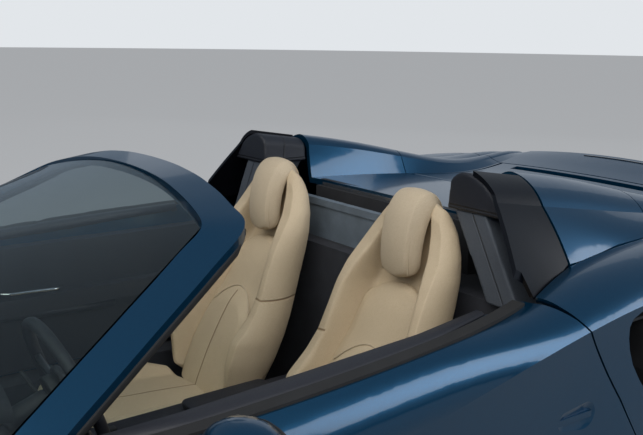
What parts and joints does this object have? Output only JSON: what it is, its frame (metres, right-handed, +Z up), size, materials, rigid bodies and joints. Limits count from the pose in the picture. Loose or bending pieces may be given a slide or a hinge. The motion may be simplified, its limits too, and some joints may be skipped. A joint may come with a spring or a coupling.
{
  "type": "convertible car",
  "caption": "Two-seat mid-engined convertible car with its roof stowed: flying buttresses, opening doors and lids, steered front wheels and bucket seats.",
  "frame": {"origin": "on the ground at the middle of the car's length and width", "axes": "+X to the front, +Y to the car's left, +Z up"},
  "size_m": [4.568, 2.224, 1.1839],
  "materials": {
    "body_paint": "dark metallic blue, glossy",
    "black_trim": "satin",
    "gloss_black": "high gloss",
    "black_rubber": "matt",
    "dark_trim": "matt",
    "dark_leather": "soft satin",
    "tan_leather": "soft satin",
    "screen_glass": "clear",
    "lamp_glass": "clear",
    "red_lamp": "glossy",
    "dark_steel": "satin",
    "bright_steel": "polished",
    "disc_steel": "machined",
    "cast_metal": "cast",
    "aluminium": "cast",
    "rim": "satin silver",
    "caliper": "glossy",
    "tyre": "matt"
  },
  "bodies": {
    "body": {"cabin_tub": "dark_trim", "calipers_rear": "caliper", "cowl": "black_trim", "dashboard": "dark_leather", "door_hinges": "dark_steel", "engine": "cast_metal", "exhausts": "bright_steel", "front_arms": "dark_steel", "front_bumper": "body_paint", "front_frame": "dark_steel", "front_grilles": "black_trim", "front_wing_left": "body_paint", "front_wing_right": "body_paint", "headlamps": "lamp_glass", "hoops": "dark_leather", "intake_ducts": "black_trim", "quarter_panels": "gloss_black", "rear_bumper": "body_paint", "rear_diffuser": "black_trim", "rear_frame": "dark_steel", "rear_quarter_left": "body_paint", "rear_quarter_right": "body_paint", "rear_shelf": "dark_trim", "rear_suspension": "aluminium", "screen_frame": "body_paint", "seat_backs": "tan_leather", "seat_cushions": "tan_leather", "sills": "body_paint", "tail_lamps": "red_lamp", "tonneau": "body_paint", "wheel_liners": "dark_trim", "wind_stop": "screen_glass", "windscreen": "screen_glass"},
    "door_left": {"door_left": "body_paint", "door_trim_left": "dark_leather", "belt_seal_left": "black_rubber", "mirror_left": "body_paint"},
    "knuckle_left": {"knuckle_left": "aluminium", "caliper_front_left": "caliper"},
    "wheel_front_left": {"tyre_front_left": "tyre", "rim_front_left": "rim", "disc_front_left": "disc_steel"},
    "wheel_rear_left": {"tyre_rear_left": "tyre", "rim_rear_left": "rim", "disc_rear_left": "disc_steel"},
    "door_right": {"door_right": "body_paint", "door_trim_right": "dark_leather", "belt_seal_right": "black_rubber", "mirror_right": "body_paint"},
    "knuckle_right": {"knuckle_right": "aluminium", "caliper_front_right": "caliper"},
    "wheel_front_right": {"tyre_front_right": "tyre", "rim_front_right": "rim", "disc_front_right": "disc_steel"},
    "wheel_rear_right": {"tyre_rear_right": "tyre", "rim_rear_right": "rim", "disc_rear_right": "disc_steel"},
    "front_lid": {"front_lid": "body_paint"},
    "engine_lid": {"engine_lid": "body_paint"},
    "steering_wheel": {"steering_wheel": "dark_leather"}
  },
  "joints": [
    {"name": "door_left_hinge", "type": "hinge", "parent": "body", "child": "door_left", "pos_m": [0.578, 0.938, 0.6], "axis": [0, 0, -1], "range_deg": [0, 62]},
    {"name": "door_right_hinge", "type": "hinge", "parent": "body", "child": "door_right", "pos_m": [0.578, -0.938, 0.6], "axis": [0, 0, 1], "range_deg": [0, 62]},
    {"name": "steer_left", "type": "hinge", "parent": "body", "child": "knuckle_left", "pos_m": [1.145, 0.768, 0.342], "axis": [0, 0, 1], "range_deg": [-32, 32]},
    {"name": "steer_right", "type": "hinge", "parent": "body", "child": "knuckle_right", "pos_m": [1.145, -0.768, 0.342], "axis": [0, 0, 1], "range_deg": [-32, 32]},
    {"name": "spin_front_left", "type": "hinge", "parent": "knuckle_left", "child": "wheel_front_left", "pos_m": [1.145, 0.838, 0.342], "axis": [0, 1, 0], "continuous": true},
    {"name": "spin_rear_left", "type": "hinge", "parent": "body", "child": "wheel_rear_left", "pos_m": [-1.505, 0.812, 0.346], "axis": [0, 1, 0], "continuous": true},
    {"name": "spin_front_right", "type": "hinge", "parent": "knuckle_right", "child": "wheel_front_right", "pos_m": [1.145, -0.838, 0.342], "axis": [0, 1, 0], "continuous": true},
    {"name": "spin_rear_right", "type": "hinge", "parent": "body", "child": "wheel_rear_right", "pos_m": [-1.505, -0.812, 0.346], "axis": [0, 1, 0], "continuous": true},
    {"name": "front_lid_hinge", "type": "hinge", "parent": "body", "child": "front_lid", "pos_m": [0.782, 0, 0.803], "axis": [0, -1, 0], "range_deg": [0, 50]},
    {"name": "engine_lid_hinge", "type": "hinge", "parent": "body", "child": "engine_lid", "pos_m": [-1.467, 0, 0.945], "axis": [0, 1, 0], "range_deg": [0, 50]},
    {"name": "steering_wheel_turn", "type": "hinge", "parent": "body", "child": "steering_wheel", "pos_m": [0.525, 0.36, 0.655], "axis": [-0.9397, 0, 0.342], "range_deg": [-400, 400]}
  ],
  "couplings": [
    {"joint": "steer_right", "follows": "steer_left", "ratio": 1},
    {"joint": "steering_wheel_turn", "follows": "steer_left", "ratio": 12}
  ]
}
